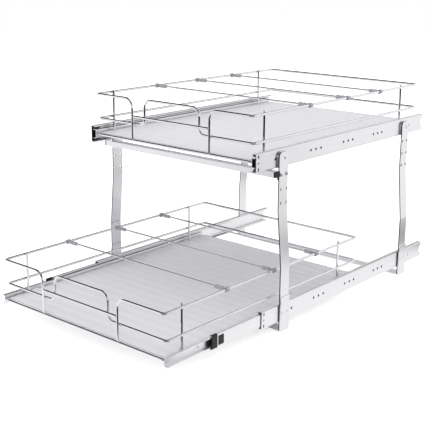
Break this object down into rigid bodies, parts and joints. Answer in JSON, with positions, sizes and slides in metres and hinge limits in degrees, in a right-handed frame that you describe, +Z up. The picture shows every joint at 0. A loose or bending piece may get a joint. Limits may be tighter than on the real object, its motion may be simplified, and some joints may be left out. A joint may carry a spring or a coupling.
{
  "type": "pull-out cabinet organizer",
  "caption": "Two-tier pull-out cabinet organizer: wire baskets with liners and sliding dividers on full-extension ball slides, carried by bent strap legs on floor plates.",
  "frame": {"origin": "middle of the underside of the front base plate, on the cabinet floor", "axes": "+X to the right seen from the front, +Y to the back of the cabinet, +Z up; the lower basket is drawn out along -Y"},
  "size_m": [0.4402, 0.7925, 0.396],
  "materials": {
    "strap_zinc": "bright zinc plated strap steel, satin",
    "pad_zinc": "zinc plated steel, dull",
    "rail_zinc": "bright zinc plated cold rolled steel, satin",
    "cage_steel": "stamped steel ball cage with polished balls",
    "screw_zinc": "zinc plated screw and rivet heads, bright",
    "chromed_wire": "chrome plated steel wire, mirror bright",
    "liner_plastic": "translucent frosted polypropylene sheet",
    "clip_plastic": "translucent grey moulded plastic",
    "black_plastic": "black moulded acetal"
  },
  "bodies": {
    "frame": {"front_base_plate": "strap_zinc", "rear_base_plate": "strap_zinc", "front_left_leg": "strap_zinc", "front_right_leg": "strap_zinc", "rear_left_leg": "strap_zinc", "rear_right_leg": "strap_zinc", "leg_pads": "pad_zinc", "top_crossbar": "rail_zinc", "crossbar_caps": "black_plastic", "leg_screws": "screw_zinc", "rivets": "screw_zinc", "rail_bumpers": "black_plastic", "lower_left_outer_rail": "rail_zinc", "lower_right_outer_rail": "rail_zinc", "upper_left_outer_rail": "rail_zinc", "upper_right_outer_rail": "rail_zinc"},
    "lower_basket": {"lower_rim_wire": "chromed_wire", "lower_ring_wire": "chromed_wire", "lower_front_bar": "chromed_wire", "lower_floor_grid": "chromed_wire", "lower_side_posts": "chromed_wire", "lower_liner": "liner_plastic", "lower_left_inner_rail": "rail_zinc", "lower_right_inner_rail": "rail_zinc"},
    "lower_left_middle_rail_body": {"lower_left_middle_rail": "rail_zinc", "lower_left_middle_bumpers": "black_plastic"},
    "lower_left_outer_cage_body": {"lower_left_outer_cage": "cage_steel"},
    "lower_left_inner_cage_body": {"lower_left_inner_cage": "cage_steel"},
    "lower_right_middle_rail_body": {"lower_right_middle_rail": "rail_zinc", "lower_right_middle_bumpers": "black_plastic"},
    "lower_right_outer_cage_body": {"lower_right_outer_cage": "cage_steel"},
    "lower_right_inner_cage_body": {"lower_right_inner_cage": "cage_steel"},
    "lower_divider_1": {"lower_divider_rod_1": "chromed_wire", "lower_divider_clips_1": "clip_plastic"},
    "lower_divider_2": {"lower_divider_rod_2": "chromed_wire", "lower_divider_clips_2": "clip_plastic"},
    "lower_divider_3": {"lower_divider_rod_3": "chromed_wire", "lower_divider_clips_3": "clip_plastic"},
    "upper_basket": {"upper_rim_wire": "chromed_wire", "upper_ring_wire": "chromed_wire", "upper_front_bar": "chromed_wire", "upper_floor_grid": "chromed_wire", "upper_side_posts": "chromed_wire", "upper_liner": "liner_plastic", "upper_left_inner_rail": "rail_zinc", "upper_right_inner_rail": "rail_zinc"},
    "upper_left_middle_rail_body": {"upper_left_middle_rail": "rail_zinc", "upper_left_middle_bumpers": "black_plastic"},
    "upper_left_outer_cage_body": {"upper_left_outer_cage": "cage_steel"},
    "upper_left_inner_cage_body": {"upper_left_inner_cage": "cage_steel"},
    "upper_right_middle_rail_body": {"upper_right_middle_rail": "rail_zinc", "upper_right_middle_bumpers": "black_plastic"},
    "upper_right_outer_cage_body": {"upper_right_outer_cage": "cage_steel"},
    "upper_right_inner_cage_body": {"upper_right_inner_cage": "cage_steel"},
    "upper_divider_1": {"upper_divider_rod_1": "chromed_wire", "upper_divider_clips_1": "clip_plastic"},
    "upper_divider_2": {"upper_divider_rod_2": "chromed_wire", "upper_divider_clips_2": "clip_plastic"},
    "upper_divider_3": {"upper_divider_rod_3": "chromed_wire", "upper_divider_clips_3": "clip_plastic"}
  },
  "joints": [
    {"name": "lower_basket_slide", "type": "slide", "parent": "frame", "child": "lower_basket", "axis": [0, -1, 0], "range_m": [-0.234, 0.266]},
    {"name": "lower_left_middle_rail_slide", "type": "slide", "parent": "frame", "child": "lower_left_middle_rail_body", "axis": [0, -1, 0], "range_m": [-0.13154, 0.14946]},
    {"name": "lower_left_outer_cage_slide", "type": "slide", "parent": "frame", "child": "lower_left_outer_cage_body", "axis": [0, -1, 0], "range_m": [-0.06602, 0.07498]},
    {"name": "lower_left_inner_cage_slide", "type": "slide", "parent": "frame", "child": "lower_left_inner_cage_body", "axis": [0, -1, 0], "range_m": [-0.18302, 0.20798]},
    {"name": "lower_right_middle_rail_slide", "type": "slide", "parent": "frame", "child": "lower_right_middle_rail_body", "axis": [0, -1, 0], "range_m": [-0.13154, 0.14946]},
    {"name": "lower_right_outer_cage_slide", "type": "slide", "parent": "frame", "child": "lower_right_outer_cage_body", "axis": [0, -1, 0], "range_m": [-0.06602, 0.07498]},
    {"name": "lower_right_inner_cage_slide", "type": "slide", "parent": "frame", "child": "lower_right_inner_cage_body", "axis": [0, -1, 0], "range_m": [-0.18302, 0.20798]},
    {"name": "lower_divider_1_slide", "type": "slide", "parent": "lower_basket", "child": "lower_divider_1", "axis": [0, 1, 0], "range_m": [-0.091, 0.058]},
    {"name": "lower_divider_2_slide", "type": "slide", "parent": "lower_basket", "child": "lower_divider_2", "axis": [0, 1, 0], "range_m": [-0.058, 0.058]},
    {"name": "lower_divider_3_slide", "type": "slide", "parent": "lower_basket", "child": "lower_divider_3", "axis": [0, 1, 0], "range_m": [-0.058, 0.067]},
    {"name": "upper_basket_slide", "type": "slide", "parent": "frame", "child": "upper_basket", "axis": [0, -1, 0], "range_m": [0, 0.5]},
    {"name": "upper_left_middle_rail_slide", "type": "slide", "parent": "frame", "child": "upper_left_middle_rail_body", "axis": [0, -1, 0], "range_m": [0, 0.2805]},
    {"name": "upper_left_outer_cage_slide", "type": "slide", "parent": "frame", "child": "upper_left_outer_cage_body", "axis": [0, -1, 0], "range_m": [0, 0.1405]},
    {"name": "upper_left_inner_cage_slide", "type": "slide", "parent": "frame", "child": "upper_left_inner_cage_body", "axis": [0, -1, 0], "range_m": [0, 0.3905]},
    {"name": "upper_right_middle_rail_slide", "type": "slide", "parent": "frame", "child": "upper_right_middle_rail_body", "axis": [0, -1, 0], "range_m": [0, 0.2805]},
    {"name": "upper_right_outer_cage_slide", "type": "slide", "parent": "frame", "child": "upper_right_outer_cage_body", "axis": [0, -1, 0], "range_m": [0, 0.1405]},
    {"name": "upper_right_inner_cage_slide", "type": "slide", "parent": "frame", "child": "upper_right_inner_cage_body", "axis": [0, -1, 0], "range_m": [0, 0.3905]},
    {"name": "upper_divider_1_slide", "type": "slide", "parent": "upper_basket", "child": "upper_divider_1", "axis": [0, 1, 0], "range_m": [-0.114, 0.054]},
    {"name": "upper_divider_2_slide", "type": "slide", "parent": "upper_basket", "child": "upper_divider_2", "axis": [0, 1, 0], "range_m": [-0.054, 0.051]},
    {"name": "upper_divider_3_slide", "type": "slide", "parent": "upper_basket", "child": "upper_divider_3", "axis": [0, 1, 0], "range_m": [-0.051, 0.073]}
  ],
  "couplings": [
    {"joint": "lower_left_middle_rail_slide", "follows": "lower_basket_slide", "ratio": 0.56},
    {"joint": "lower_left_outer_cage_slide", "follows": "lower_basket_slide", "ratio": 0.28},
    {"joint": "lower_left_inner_cage_slide", "follows": "lower_basket_slide", "ratio": 0.78},
    {"joint": "lower_right_middle_rail_slide", "follows": "lower_basket_slide", "ratio": 0.56},
    {"joint": "lower_right_outer_cage_slide", "follows": "lower_basket_slide", "ratio": 0.28},
    {"joint": "lower_right_inner_cage_slide", "follows": "lower_basket_slide", "ratio": 0.78},
    {"joint": "upper_left_middle_rail_slide", "follows": "upper_basket_slide", "ratio": 0.56},
    {"joint": "upper_left_outer_cage_slide", "follows": "upper_basket_slide", "ratio": 0.28},
    {"joint": "upper_left_inner_cage_slide", "follows": "upper_basket_slide", "ratio": 0.78},
    {"joint": "upper_right_middle_rail_slide", "follows": "upper_basket_slide", "ratio": 0.56},
    {"joint": "upper_right_outer_cage_slide", "follows": "upper_basket_slide", "ratio": 0.28},
    {"joint": "upper_right_inner_cage_slide", "follows": "upper_basket_slide", "ratio": 0.78}
  ]
}
